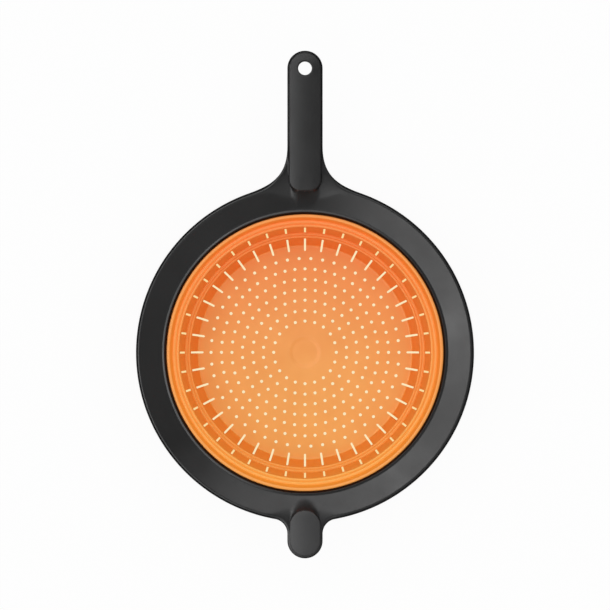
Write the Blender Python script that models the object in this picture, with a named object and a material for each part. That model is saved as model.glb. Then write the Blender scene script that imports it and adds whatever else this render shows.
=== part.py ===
"""Collapsible colander: a folding silicone bowl in a rigid ring frame with a handle and a thumb tab.

Metres, +Z up. The origin is the centre of the bowl's underside. The handle points along +Y.
The bowl is shown expanded. It collapses as the upper wall rolls inside out and lifts the cup.
"""

import math

import bmesh
import bpy
from mathutils import Matrix

# Gaps, overruns and facets
SEAM_GAP = 0.0003
CUT_OVERRUN = 0.003
WELD_DISTANCE = 0.000001
FRAME_FACETS = 72
BOWL_FACETS = 60
HOLE_FACETS = 6
HANG_HOLE_FACETS = 16

# Perforated floor
FLOOR_THICKNESS = 0.0024
FIRST_HOLE_RING_RADIUS = 0.024
HOLE_RING_PITCH = 0.008
HOLE_RADIUS = 0.0012
HOLES_PER_RING = (20, 26, 32, 38, 44, 52, 50)
OUTER_RING_TURN_SHARE = 0.5
FLOOR_EDGE_LAND = 0.0032
DIMPLE_RADIUS = 0.0125
DIMPLE_SLOPE_WIDTH = 0.0035
DIMPLE_DEPTH = 0.001

# Cup: the floor's margin, the corner and the lower wall with its ledge
BASE_MARGIN = 0.0068
LOWER_WALL_HEIGHT = 0.0296
LOWER_WALL_LEAN = 0.0055
LOWER_LEDGE_WIDTH = 0.0018
INNER_CORNER = 0.0014
OUTER_CORNER = 0.0024
WALL_THICKNESS = 0.0018
LEDGE_THICKNESS = 0.002
RIDGE_HEIGHT = 0.0006

# Upper wall, between the two fold grooves
UPPER_FOOT_WIDTH = 0.0017
UPPER_WALL_HEIGHT = 0.024
UPPER_WALL_LEAN = 0.0042
UPPER_HEAD_WIDTH = 0.0022

# Drain slots, one above the other in both walls
SLOT_COUNT = 40
SLOT_WIDTH = 0.00155
LOWER_SLOT_TOP_LAND = 0.0042
LOWER_SLOT_FLOOR_REACH = 0.0046
UPPER_SLOT_TOP_LAND = 0.0036
UPPER_SLOT_FOOT_LAND = 0.0002

# Bowl rim: the outer ledge, the step, the bead and the clamped flange
RIM_LEDGE_WIDTH = 0.0026
RIM_STEP_LEAN = 0.0019
RIM_STEP_HEIGHT = 0.0035
BEAD_WIDTH = 0.0024
BEAD_ROUND = 0.0007
CLAMP_FLANGE_DROP = 0.0032
CLAMP_FLANGE_THICKNESS = 0.0016
CLAMP_FLANGE_END_GAP = 0.001
RIM_HEEL = 0.001

# Frame: the lip round the bowl, the dished flange, the collar and the outer edge
RIM_SLIT = 0.0018
LIP_WIDTH = 0.002
LIP_CREST_SHARE = 0.15
LIP_PROUD = 0.0007
LIP_ROUND = 0.0006
LIP_FOOT_THICKNESS = 0.0005
POCKET_WIDTH = 0.005
COLLAR_WALL = 0.0022
HOOK_REACH = 0.0012
HOOK_THICKNESS = 0.0012
DISH_WIDTH = 0.0175
DISH_RISE = 0.0083
DISH_WALL = 0.0025
RIM_EDGE_WIDTH = 0.002
RIM_EDGE_ROUND = 0.0015
SKIRT_WALL = 0.0023
EDGE_DEPTH = 0.0062

# Retaining ring under the clamped flange
RETAINER_WIDTH = 0.0085
RETAINER_THICKNESS = 0.0026
RETAINER_CHAMFER = 0.0006

# Handle and thumb tab
ARM_WIDTH = 0.0268
HANDLE_LENGTH = 0.1011
HANDLE_NECK_LENGTH = 0.0285
HANDLE_NECK_SPREAD = 0.0292
NECK_PULL_SHARE = 0.76
RING_PULL_SHARE = 0.67
NECK_STEPS = 7
TAB_LENGTH = 0.0278
TAB_FILLET_RADIUS = 0.0112
TAB_FILLET_STEPS = 5
TIP_STEPS = 10
HANG_HOLE_RADIUS = 0.0052

# Soft grip on the handle and soft pad on the tab
GRIP_BORDER = 0.0014
GRIP_OVERLAP = 0.0055
GRIP_END_CORNER = 0.0075
GRIP_EDGE_HEIGHT = 0.0009
GRIP_CROWN = 0.0022
PAD_BORDER = 0.0018
PAD_OVERLAP = 0.0087
PAD_EDGE_HEIGHT = 0.0007
PAD_CROWN = 0.002
CROWN_STEPS = 5
CORNER_STEPS = 4

# Raised seats of the soft parts, with upright sides and a flank that falls into the dish
GRIP_SEAT_RISE = 0.002
PAD_SEAT_RISE = 0.0003
SEAT_LAND = 0.0003
SEAT_SIDE_STEP = 0.0006
SEAT_FLANK_ANGLE = math.radians(41)

# Radii of the bowl, from the floor out to the bead
LAST_HOLE_RING_RADIUS = FIRST_HOLE_RING_RADIUS + HOLE_RING_PITCH * (len(HOLES_PER_RING) - 1)
FLOOR_RADIUS = LAST_HOLE_RING_RADIUS + FLOOR_EDGE_LAND
CUP_INNER_RADIUS = FLOOR_RADIUS + SEAM_GAP
BASE_RADIUS = CUP_INNER_RADIUS + BASE_MARGIN
LOWER_WALL_HEAD_RADIUS = BASE_RADIUS + LOWER_WALL_LEAN
CUP_RADIUS = LOWER_WALL_HEAD_RADIUS + LOWER_LEDGE_WIDTH
UPPER_INNER_RADIUS = CUP_RADIUS + SEAM_GAP
UPPER_WALL_FOOT_RADIUS = UPPER_INNER_RADIUS + UPPER_FOOT_WIDTH
UPPER_WALL_HEAD_RADIUS = UPPER_WALL_FOOT_RADIUS + UPPER_WALL_LEAN
UPPER_RADIUS = UPPER_WALL_HEAD_RADIUS + UPPER_HEAD_WIDTH
RIM_INNER_RADIUS = UPPER_RADIUS + SEAM_GAP
STEP_FOOT_RADIUS = RIM_INNER_RADIUS + RIM_LEDGE_WIDTH
BEAD_INNER_RADIUS = STEP_FOOT_RADIUS + RIM_STEP_LEAN
BEAD_RADIUS = BEAD_INNER_RADIUS + BEAD_WIDTH

# Radii of the frame, from the lip out to the edge
LIP_INNER_RADIUS = BEAD_RADIUS + RIM_SLIT
DISH_INNER_RADIUS = LIP_INNER_RADIUS + LIP_WIDTH
COLLAR_INNER_RADIUS = LIP_INNER_RADIUS + POCKET_WIDTH
COLLAR_RADIUS = COLLAR_INNER_RADIUS + COLLAR_WALL
CLAMP_FLANGE_RADIUS = COLLAR_INNER_RADIUS - CLAMP_FLANGE_END_GAP
DISH_RADIUS = DISH_INNER_RADIUS + DISH_WIDTH
RIM_RADIUS = DISH_RADIUS + RIM_EDGE_WIDTH
RETAINER_RADIUS = COLLAR_INNER_RADIUS - SEAM_GAP
HANDLE_TIP = RIM_RADIUS + HANDLE_LENGTH
TAB_TIP = RIM_RADIUS + TAB_LENGTH

# Heights, from the underside of the floor up
LOWER_LEDGE_TOP = FLOOR_THICKNESS + LOWER_WALL_HEIGHT
UPPER_LEDGE_TOP = LOWER_LEDGE_TOP + UPPER_WALL_HEIGHT
BEAD_TOP = UPPER_LEDGE_TOP + RIM_STEP_HEIGHT
CLAMP_FLANGE_TOP = BEAD_TOP - CLAMP_FLANGE_DROP
CLAMP_FLANGE_BOTTOM = CLAMP_FLANGE_TOP - CLAMP_FLANGE_THICKNESS
RETAINER_TOP = CLAMP_FLANGE_BOTTOM - SEAM_GAP
RETAINER_BOTTOM = RETAINER_TOP - RETAINER_THICKNESS
HOOK_TOP = RETAINER_BOTTOM - SEAM_GAP
COLLAR_BOTTOM = HOOK_TOP - HOOK_THICKNESS
LIP_BOTTOM = CLAMP_FLANGE_TOP + SEAM_GAP
LIP_TOP = BEAD_TOP + LIP_PROUD
DISH_BOTTOM = LIP_TOP - LIP_ROUND
RIM_TOP = DISH_BOTTOM + DISH_RISE
EDGE_BOTTOM = RIM_TOP - EDGE_DEPTH
GRIP_SEAT = RIM_TOP + GRIP_SEAT_RISE
PAD_SEAT = RIM_TOP + PAD_SEAT_RISE


def clear_scene():
    for obj in list(bpy.data.objects):
        bpy.data.objects.remove(obj, do_unlink=True)


def make_material(name, colour, roughness):
    material = bpy.data.materials.new(name)
    material.use_nodes = True
    shader = material.node_tree.nodes["Principled BSDF"]
    shader.inputs["Base Color"].default_value = (*colour, 1.0)
    shader.inputs["Roughness"].default_value = roughness
    shader.inputs["Metallic"].default_value = 0.0
    return material


def add_object(name, mesh_data, material=None, parent=None):
    mesh = bpy.data.meshes.new(name)
    bmesh.ops.recalc_face_normals(mesh_data, faces=mesh_data.faces)
    mesh_data.to_mesh(mesh)
    mesh_data.free()
    obj = bpy.data.objects.new(name, mesh)
    bpy.context.scene.collection.objects.link(obj)
    if material:
        mesh.materials.append(material)
        mesh.shade_smooth()
        mesh.set_sharp_from_angle(angle=math.radians(30))
    obj.parent = parent
    return obj


def add_cutter(name, mesh_data):
    cutter = add_object(name, mesh_data)
    cutter.hide_render = True
    cutter.display_type = "WIRE"
    return cutter


def combine(obj, operation, other):
    boolean = obj.modifiers.new(operation.lower() + " " + other.name, "BOOLEAN")
    boolean.operation = operation
    boolean.solver = "EXACT"
    boolean.object = other


def cut(obj, cutter):
    combine(obj, "DIFFERENCE", cutter)


def add_body(name):
    """The parent of the pieces that move together, on the bowl's axis."""
    body = bpy.data.objects.new(name, None)
    bpy.context.scene.collection.objects.link(body)
    return body


def turned(profile, facets):
    """A closed profile of (radius, height) points turned about the bowl's axis."""
    turned_mesh = bmesh.new()
    points = [turned_mesh.verts.new((radius, 0, height)) for radius, height in profile]
    edges = [turned_mesh.edges.new((points[i - 1], points[i])) for i in range(len(points))]
    bmesh.ops.spin(
        turned_mesh,
        geom=points + edges,
        cent=(0, 0, 0),
        axis=(0, 0, 1),
        angle=2 * math.pi,
        steps=facets,
        use_merge=True,
    )
    bmesh.ops.remove_doubles(turned_mesh, verts=turned_mesh.verts, dist=WELD_DISTANCE)
    return turned_mesh


def prism(outline, bottom, top):
    """A solid with the plan of a closed outline of (x, y) points, between two heights."""
    solid = bmesh.new()
    base = solid.faces.new([solid.verts.new((x, y, bottom)) for x, y in outline])
    grown = bmesh.ops.extrude_face_region(solid, geom=[base])["geom"]
    raised = [item for item in grown if isinstance(item, bmesh.types.BMVert)]
    bmesh.ops.translate(solid, verts=raised, vec=(0, 0, top - bottom))
    return solid


def arc(centre, radius, start_angle, end_angle, steps):
    """Points on an arc of a circle in plan, both ends included."""
    angles = [start_angle + (end_angle - start_angle) * i / steps for i in range(steps + 1)]
    return [(centre[0] + radius * math.cos(a), centre[1] + radius * math.sin(a)) for a in angles]


def curve_between(start, start_pull, end_pull, end, steps):
    """Points on a cubic curve between two ends that are drawn towards two pull points."""
    points = []
    for i in range(steps + 1):
        t = i / steps
        weights = ((1 - t) ** 3, 3 * t * (1 - t) ** 2, 3 * t**2 * (1 - t), t**3)
        controls = (start, start_pull, end_pull, end)
        points.append(tuple(sum(w * c[axis] for w, c in zip(weights, controls)) for axis in (0, 1)))
    return points


def slot_cutter(name, inner_radius, outer_radius, bottom, top):
    """Upright drain slots through a wall, evenly spaced round the bowl."""
    cutter_mesh = bmesh.new()
    size = (outer_radius - inner_radius, SLOT_WIDTH, top - bottom)
    centre = ((inner_radius + outer_radius) / 2, 0, (bottom + top) / 2)
    block = Matrix.Translation(centre) @ Matrix.Diagonal((*size, 1))
    for i in range(SLOT_COUNT):
        turn = Matrix.Rotation(2 * math.pi * i / SLOT_COUNT, 4, "Z")
        bmesh.ops.create_cube(cutter_mesh, size=1, matrix=turn @ block)
    return add_cutter(name, cutter_mesh)


def floor_hole_cutter():
    """Drain holes in rings. A hole of each ring lies on +Y, except that the last ring straddles it."""
    cutter_mesh = bmesh.new()
    last_ring = len(HOLES_PER_RING) - 1
    for ring, count in enumerate(HOLES_PER_RING):
        radius = FIRST_HOLE_RING_RADIUS + HOLE_RING_PITCH * ring
        turn_share = OUTER_RING_TURN_SHARE if ring == last_ring else 0
        for i in range(count):
            angle = math.pi / 2 + 2 * math.pi * (i + turn_share) / count
            spot = Matrix.Rotation(angle, 4, "Z") @ Matrix.Translation((radius, 0, FLOOR_THICKNESS / 2))
            bmesh.ops.create_cone(
                cutter_mesh,
                cap_ends=True,
                segments=HOLE_FACETS,
                radius1=HOLE_RADIUS,
                radius2=HOLE_RADIUS,
                depth=FLOOR_THICKNESS + 2 * CUT_OVERRUN,
                matrix=spot,
            )
    return add_cutter("floor_hole_cutter", cutter_mesh)


def dimple_cutter():
    """A shallow round hollow in the middle of the floor, with a sloping side."""
    slope = DIMPLE_SLOPE_WIDTH / DIMPLE_DEPTH
    cutter_mesh = bmesh.new()
    bmesh.ops.create_cone(
        cutter_mesh,
        cap_ends=True,
        segments=BOWL_FACETS // 2,
        radius1=DIMPLE_RADIUS - DIMPLE_SLOPE_WIDTH,
        radius2=DIMPLE_RADIUS + slope * CUT_OVERRUN,
        depth=DIMPLE_DEPTH + CUT_OVERRUN,
        matrix=Matrix.Translation((0, 0, FLOOR_THICKNESS + (CUT_OVERRUN - DIMPLE_DEPTH) / 2)),
    )
    return add_cutter("dimple_cutter", cutter_mesh)


def make_floor(material, body):
    disc = bmesh.new()
    bmesh.ops.create_cone(
        disc,
        cap_ends=True,
        segments=BOWL_FACETS,
        radius1=FLOOR_RADIUS,
        radius2=FLOOR_RADIUS,
        depth=FLOOR_THICKNESS,
        matrix=Matrix.Translation((0, 0, FLOOR_THICKNESS / 2)),
    )
    floor = add_object("bowl_floor", disc, material, body)
    cut(floor, floor_hole_cutter())
    cut(floor, dimple_cutter())


def make_lower_wall(material, body):
    """The cup's side: the floor's margin, the rounded corner, the leaning wall and half of its ledge."""
    lean_rate = LOWER_WALL_LEAN / LOWER_WALL_HEIGHT
    foot_radius = BASE_RADIUS + WALL_THICKNESS
    profile = [
        (CUP_RADIUS, LOWER_LEDGE_TOP - RIDGE_HEIGHT),
        (CUP_RADIUS - LOWER_LEDGE_WIDTH / 2, LOWER_LEDGE_TOP),
        (LOWER_WALL_HEAD_RADIUS, LOWER_LEDGE_TOP - RIDGE_HEIGHT),
        (BASE_RADIUS + INNER_CORNER * lean_rate, FLOOR_THICKNESS + INNER_CORNER),
        (BASE_RADIUS - INNER_CORNER, FLOOR_THICKNESS),
        (CUP_INNER_RADIUS, FLOOR_THICKNESS),
        (CUP_INNER_RADIUS, 0),
        (foot_radius - OUTER_CORNER, 0),
        (foot_radius, OUTER_CORNER),
        (CUP_RADIUS, LOWER_LEDGE_TOP - LEDGE_THICKNESS),
    ]
    wall = add_object("bowl_lower_wall", turned(profile, BOWL_FACETS), material, body)
    slots = slot_cutter(
        "lower_slot_cutter",
        BASE_RADIUS - LOWER_SLOT_FLOOR_REACH,
        CUP_RADIUS + CUT_OVERRUN,
        -CUT_OVERRUN,
        LOWER_LEDGE_TOP - LOWER_SLOT_TOP_LAND,
    )
    cut(wall, slots)


def make_upper_wall(material, body):
    """The band that rolls inside out, from the lower ledge's groove to the upper ledge's."""
    profile = [
        (UPPER_RADIUS, UPPER_LEDGE_TOP - RIDGE_HEIGHT),
        (UPPER_RADIUS - UPPER_HEAD_WIDTH / 2, UPPER_LEDGE_TOP),
        (UPPER_WALL_HEAD_RADIUS, UPPER_LEDGE_TOP - RIDGE_HEIGHT),
        (UPPER_WALL_FOOT_RADIUS, LOWER_LEDGE_TOP - RIDGE_HEIGHT),
        (UPPER_INNER_RADIUS + UPPER_FOOT_WIDTH / 2, LOWER_LEDGE_TOP),
        (UPPER_INNER_RADIUS, LOWER_LEDGE_TOP - RIDGE_HEIGHT),
        (UPPER_INNER_RADIUS, LOWER_LEDGE_TOP - LEDGE_THICKNESS),
        (UPPER_WALL_FOOT_RADIUS + WALL_THICKNESS, LOWER_LEDGE_TOP - LEDGE_THICKNESS),
        (UPPER_RADIUS, UPPER_LEDGE_TOP - LEDGE_THICKNESS),
    ]
    wall = add_object("bowl_upper_wall", turned(profile, BOWL_FACETS), material, body)
    slots = slot_cutter(
        "upper_slot_cutter",
        UPPER_WALL_FOOT_RADIUS + UPPER_SLOT_FOOT_LAND,
        UPPER_RADIUS + CUT_OVERRUN,
        LOWER_LEDGE_TOP - LEDGE_THICKNESS - CUT_OVERRUN,
        UPPER_LEDGE_TOP - UPPER_SLOT_TOP_LAND,
    )
    cut(wall, slots)


def make_bowl_rim(material, body):
    """The bowl's fixed edge, whose thin flange is clamped between the frame and the retaining ring."""
    profile = [
        (CLAMP_FLANGE_RADIUS, CLAMP_FLANGE_BOTTOM),
        (CLAMP_FLANGE_RADIUS, CLAMP_FLANGE_TOP),
        (BEAD_RADIUS, CLAMP_FLANGE_TOP),
        (BEAD_RADIUS, BEAD_TOP - BEAD_ROUND),
        (BEAD_RADIUS - BEAD_WIDTH / 2, BEAD_TOP),
        (BEAD_INNER_RADIUS, BEAD_TOP - BEAD_ROUND),
        (STEP_FOOT_RADIUS, UPPER_LEDGE_TOP - RIDGE_HEIGHT),
        (RIM_INNER_RADIUS + RIM_LEDGE_WIDTH / 2, UPPER_LEDGE_TOP),
        (RIM_INNER_RADIUS, UPPER_LEDGE_TOP - RIDGE_HEIGHT),
        (RIM_INNER_RADIUS, UPPER_LEDGE_TOP - LEDGE_THICKNESS),
        (STEP_FOOT_RADIUS, UPPER_LEDGE_TOP - LEDGE_THICKNESS),
        (STEP_FOOT_RADIUS + RIM_HEEL, CLAMP_FLANGE_BOTTOM),
    ]
    add_object("bowl_rim", turned(profile, BOWL_FACETS), material, body)


def make_retaining_ring(material, body):
    """The hidden ring that snaps into the frame's collar from below and holds the bowl's flange up."""
    inner_radius = RETAINER_RADIUS - RETAINER_WIDTH
    profile = [
        (RETAINER_RADIUS, RETAINER_TOP),
        (inner_radius, RETAINER_TOP),
        (inner_radius, RETAINER_BOTTOM + RETAINER_CHAMFER),
        (inner_radius + RETAINER_CHAMFER, RETAINER_BOTTOM),
        (RETAINER_RADIUS, RETAINER_BOTTOM),
    ]
    add_object("retaining_ring", turned(profile, FRAME_FACETS), material, body)


def handle_side():
    """The handle's right-hand side in plan, from the ring out to the tip's arc."""
    half_width = ARM_WIDTH / 2
    reach = half_width + HANDLE_NECK_SPREAD
    ring_angle = math.acos(reach / RIM_RADIUS)
    on_ring = (reach, RIM_RADIUS * math.sin(ring_angle))
    ring_pull = RING_PULL_SHARE * HANDLE_NECK_SPREAD
    pull_x = on_ring[0] - ring_pull * math.sin(ring_angle)
    pull_y = on_ring[1] + ring_pull * math.cos(ring_angle)
    neck = (half_width, RIM_RADIUS + HANDLE_NECK_LENGTH)
    neck_pull_point = (half_width, neck[1] - NECK_PULL_SHARE * HANDLE_NECK_LENGTH)
    return ring_angle, curve_between(on_ring, (pull_x, pull_y), neck_pull_point, neck, NECK_STEPS)


def tab_side():
    """The tab's right-hand side in plan, from the tip's arc in to the ring, and where it meets it."""
    half_width = ARM_WIDTH / 2
    centre_x = half_width + TAB_FILLET_RADIUS
    centre_y = -math.sqrt((RIM_RADIUS + TAB_FILLET_RADIUS) ** 2 - centre_x**2)
    ring_angle = math.atan2(centre_y, centre_x)
    fillet = arc((centre_x, centre_y), TAB_FILLET_RADIUS, math.pi, ring_angle + math.pi, TAB_FILLET_STEPS)
    return ring_angle, fillet


def frame_outline():
    """The frame in plan: right half from the tab's tip round to the handle's tip, then its mirror image."""
    half_width = ARM_WIDTH / 2
    tab_angle, tab_fillet = tab_side()
    handle_angle, handle_neck = handle_side()
    tab_arc = arc((0, half_width - TAB_TIP), half_width, -math.pi / 2, 0, TIP_STEPS)
    handle_arc = arc((0, HANDLE_TIP - half_width), half_width, 0, math.pi / 2, TIP_STEPS)
    ring_steps = round(FRAME_FACETS * (handle_angle - tab_angle) / (2 * math.pi))
    ring_arc = arc((0, 0), RIM_RADIUS, tab_angle, handle_angle, ring_steps)
    right_side = tab_arc + tab_fillet + ring_arc[1:-1] + handle_neck + handle_arc
    left_side = [(-x, y) for x, y in reversed(right_side[1:-1])]
    return right_side + left_side


def frame_inner_cutter():
    """Everything inside the frame: the dish, the lip's bore, the flange's pocket and the collar's bore."""
    dish_rate = DISH_RISE / DISH_WIDTH
    hook_radius = COLLAR_INNER_RADIUS - HOOK_REACH
    foot_radius = BEAD_RADIUS + SEAM_GAP
    foot_top = LIP_BOTTOM + LIP_FOOT_THICKNESS
    profile = [
        (0, COLLAR_BOTTOM - CUT_OVERRUN),
        (hook_radius, COLLAR_BOTTOM - CUT_OVERRUN),
        (hook_radius, HOOK_TOP),
        (COLLAR_INNER_RADIUS, HOOK_TOP),
        (COLLAR_INNER_RADIUS, LIP_BOTTOM),
        (foot_radius, LIP_BOTTOM),
        (foot_radius, foot_top),
        (LIP_INNER_RADIUS, foot_top),
        (LIP_INNER_RADIUS, LIP_TOP - LIP_ROUND),
        (LIP_INNER_RADIUS + LIP_CREST_SHARE * LIP_WIDTH, LIP_TOP),
        (DISH_INNER_RADIUS, DISH_BOTTOM),
        (DISH_RADIUS + CUT_OVERRUN / dish_rate, RIM_TOP + CUT_OVERRUN),
        (0, RIM_TOP + CUT_OVERRUN),
    ]
    return add_cutter("frame_inner_cutter", turned(profile, FRAME_FACETS))


def frame_under_cutter():
    """Everything under the flange, outside the collar, and under the handle and the tab."""
    dish_rate = DISH_RISE / DISH_WIDTH
    dish_under = DISH_BOTTOM - DISH_WALL
    skirt_inner_radius = RIM_RADIUS - SKIRT_WALL
    far_radius = HANDLE_TIP + CUT_OVERRUN
    below = COLLAR_BOTTOM - CUT_OVERRUN
    profile = [
        (COLLAR_RADIUS, below),
        (COLLAR_RADIUS, dish_under + dish_rate * (COLLAR_RADIUS - DISH_INNER_RADIUS)),
        (skirt_inner_radius, dish_under + dish_rate * (skirt_inner_radius - DISH_INNER_RADIUS)),
        (skirt_inner_radius, EDGE_BOTTOM),
        (far_radius, EDGE_BOTTOM),
        (far_radius, below),
    ]
    return add_cutter("frame_under_cutter", turned(profile, FRAME_FACETS))


def hang_hole_cutter():
    cutter_mesh = bmesh.new()
    top = GRIP_SEAT + SEAM_GAP + GRIP_EDGE_HEIGHT + GRIP_CROWN + CUT_OVERRUN
    bottom = EDGE_BOTTOM - CUT_OVERRUN
    bmesh.ops.create_cone(
        cutter_mesh,
        cap_ends=True,
        segments=HANG_HOLE_FACETS,
        radius1=HANG_HOLE_RADIUS,
        radius2=HANG_HOLE_RADIUS,
        depth=top - bottom,
        matrix=Matrix.Translation((0, HANDLE_TIP - ARM_WIDTH / 2, (top + bottom) / 2)),
    )
    return add_cutter("hang_hole_cutter", cutter_mesh)


def make_frame(material, body, hang_hole):
    frame = add_object("frame", prism(frame_outline(), COLLAR_BOTTOM, RIM_TOP), material, body)
    rounding = frame.modifiers.new("rounded outer edge", "BEVEL")
    rounding.width = RIM_EDGE_ROUND
    rounding.segments = 2
    rounding.limit_method = "ANGLE"
    rounding.angle_limit = math.radians(60)
    cut(frame, frame_inner_cutter())
    combine(frame, "UNION", grip_seat())
    combine(frame, "UNION", pad_seat())
    cut(frame, frame_under_cutter())
    cut(frame, hang_hole)


def bar_outline(half_width, near_end, far_end, near_corner, far_corner):
    """A bar along Y in plan, with its own corner radius at each end."""
    near_y = near_end + near_corner
    far_y = far_end - far_corner
    near_x = half_width - near_corner
    far_x = half_width - far_corner
    right_side = arc((near_x, near_y), near_corner, -math.pi / 2, 0, CORNER_STEPS)
    right_side += arc((far_x, far_y), far_corner, 0, math.pi / 2, CORNER_STEPS)
    left_side = [(-x, y) for x, y in reversed(right_side) if x > WELD_DISTANCE]
    return right_side + left_side


def lofted_bar(levels):
    """A bar built up from its bottom in levels, each with its own plan and its own height."""
    solid = bmesh.new()
    loops = []
    for plan, height in levels:
        ring = [solid.verts.new((x, y, height)) for x, y in bar_outline(*plan)]
        loops.append([solid.edges.new((ring[i - 1], ring[i])) for i in range(len(ring))])
    for lower, upper in zip(loops, loops[1:]):
        bmesh.ops.bridge_loops(solid, edges=lower + upper)
    bmesh.ops.holes_fill(solid, edges=loops[0] + loops[-1])
    return solid


def drawn_in(plan, inset):
    """A bar's plan with its sides and ends moved in, and its corners drawn in to suit."""
    half_width, near_end, far_end, near_corner, far_corner = plan
    corner_share = 1 - inset / half_width
    return (
        half_width - inset,
        near_end + inset,
        far_end - inset,
        near_corner * corner_share,
        far_corner * corner_share,
    )


def grip_plan():
    """The grip's half width, its two ends and its corner radius at each end."""
    half_width = ARM_WIDTH / 2 - GRIP_BORDER
    return half_width, RIM_RADIUS - GRIP_OVERLAP, HANDLE_TIP - GRIP_BORDER, GRIP_END_CORNER, half_width


def pad_plan():
    """The thumb pad's half width, its two ends and its corner radius at each end."""
    half_width = ARM_WIDTH / 2 - PAD_BORDER
    return half_width, PAD_BORDER - TAB_TIP, PAD_OVERLAP - RIM_RADIUS, half_width, half_width


def seat_levels(plan, border, seat_height, near_reach_share, far_reach_share):
    """A soft part's seat: a chamfered top edge, upright sides, and a long flank at the end in the dish."""
    flank_rate = math.tan(SEAT_FLANK_ANGLE)
    top_plan = drawn_in(plan, -SEAT_LAND)
    side_reach = border - SEAT_LAND - SEAT_SIDE_STEP
    side_plan = drawn_in(top_plan, -side_reach)
    side_height = seat_height - flank_rate * side_reach
    foot_reach = (side_height - DISH_BOTTOM) / flank_rate
    half_width, near_end, far_end, near_corner, far_corner = side_plan
    foot_plan = (
        half_width,
        near_end - near_reach_share * foot_reach,
        far_end + far_reach_share * foot_reach,
        near_corner,
        far_corner,
    )
    return [(foot_plan, DISH_BOTTOM), (side_plan, side_height), (top_plan, seat_height)]


def grip_seat():
    levels = seat_levels(grip_plan(), GRIP_BORDER, GRIP_SEAT, 1, 0)
    return add_cutter("grip_seat", lofted_bar(levels))


def pad_seat():
    levels = seat_levels(pad_plan(), PAD_BORDER, PAD_SEAT, 0, 1)
    return add_cutter("pad_seat", lofted_bar(levels))


def crowned_bar(plan, seat_height, edge_height, crown):
    """A soft bar on its seat, with a low upright edge and an arched top."""
    half_width = plan[0]
    bottom = seat_height + SEAM_GAP
    shoulder = bottom + edge_height
    levels = [(plan, bottom), (plan, shoulder)]
    for i in range(1, CROWN_STEPS):
        inset_share = i / CROWN_STEPS
        height = shoulder + crown * (1 - (1 - inset_share) ** 2)
        levels.append((drawn_in(plan, half_width * inset_share), height))
    return lofted_bar(levels)


def make_handle_grip(material, body, hang_hole):
    bar = crowned_bar(grip_plan(), GRIP_SEAT, GRIP_EDGE_HEIGHT, GRIP_CROWN)
    cut(add_object("handle_grip", bar, material, body), hang_hole)


def make_thumb_pad(material, body):
    bar = crowned_bar(pad_plan(), PAD_SEAT, PAD_EDGE_HEIGHT, PAD_CROWN)
    add_object("thumb_pad", bar, material, body)


def build():
    clear_scene()
    silicone = make_material("orange_silicone", (0.89, 0.29, 0.07), 0.45)
    plastic = make_material("black_plastic", (0.035, 0.035, 0.036), 0.4)
    soft_grip = make_material("soft_black_rubber", (0.045, 0.045, 0.046), 0.6)
    frame_body = add_body("frame_body")
    upper_wall_body = add_body("upper_wall_body")
    cup_body = add_body("cup_body")
    hang_hole = hang_hole_cutter()
    make_frame(plastic, frame_body, hang_hole)
    make_handle_grip(soft_grip, frame_body, hang_hole)
    make_thumb_pad(soft_grip, frame_body)
    make_retaining_ring(plastic, frame_body)
    make_bowl_rim(silicone, frame_body)
    make_upper_wall(silicone, upper_wall_body)
    make_lower_wall(silicone, cup_body)
    make_floor(silicone, cup_body)


build()
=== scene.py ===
"""The dressed colander: a smooth silicone bowl, a moulded frame and soft grips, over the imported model."""

import math
from collections import namedtuple

import bmesh
import bpy
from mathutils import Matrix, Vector
from mathutils.geometry import delaunay_2d_cdt
from mathutils.kdtree import KDTree


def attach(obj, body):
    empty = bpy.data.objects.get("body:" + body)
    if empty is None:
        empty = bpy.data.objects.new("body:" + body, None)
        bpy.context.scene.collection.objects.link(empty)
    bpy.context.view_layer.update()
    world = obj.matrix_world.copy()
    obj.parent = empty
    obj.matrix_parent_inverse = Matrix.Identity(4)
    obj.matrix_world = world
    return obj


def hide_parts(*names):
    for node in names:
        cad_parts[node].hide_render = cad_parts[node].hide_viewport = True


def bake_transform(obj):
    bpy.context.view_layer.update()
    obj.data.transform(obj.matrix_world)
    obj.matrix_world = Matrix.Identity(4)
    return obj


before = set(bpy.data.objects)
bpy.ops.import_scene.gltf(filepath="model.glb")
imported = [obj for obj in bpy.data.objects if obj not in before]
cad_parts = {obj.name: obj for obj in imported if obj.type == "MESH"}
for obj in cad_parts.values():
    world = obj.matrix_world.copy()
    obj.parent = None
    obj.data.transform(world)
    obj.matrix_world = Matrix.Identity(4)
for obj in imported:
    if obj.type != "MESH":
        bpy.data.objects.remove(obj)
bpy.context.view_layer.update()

MM = 0.001
WELD = 0.001 * MM
CENTRE = (0, 0)

# Bowl floor; each ring of drain holes is its radius and its number of holes
FLOOR_TOP = 2.4 * MM
FLOOR_SHEET_RADIUS = 76 * MM
HOLE_RINGS = (
    (24 * MM, 20),
    (32 * MM, 26),
    (40 * MM, 32),
    (48 * MM, 38),
    (56 * MM, 44),
    (64 * MM, 52),
    (72 * MM, 50),
)
HOLE_RADIUS = 1.22 * MM
HOLE_EDGE = 0.2 * MM
HOLE_SIDES = 16
DIMPLE_RADIUS = 12.5 * MM
DIMPLE_SLOPE = 3.5 * MM
DIMPLE_DEPTH = 1 * MM
DIMPLE_ROWS = tuple(radius * MM for radius in (15, 13.3, 12.5, 12, 11.4, 10.75, 10.1, 9.5, 9, 8, 4))
DIMPLE_SIDES = 80

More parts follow.
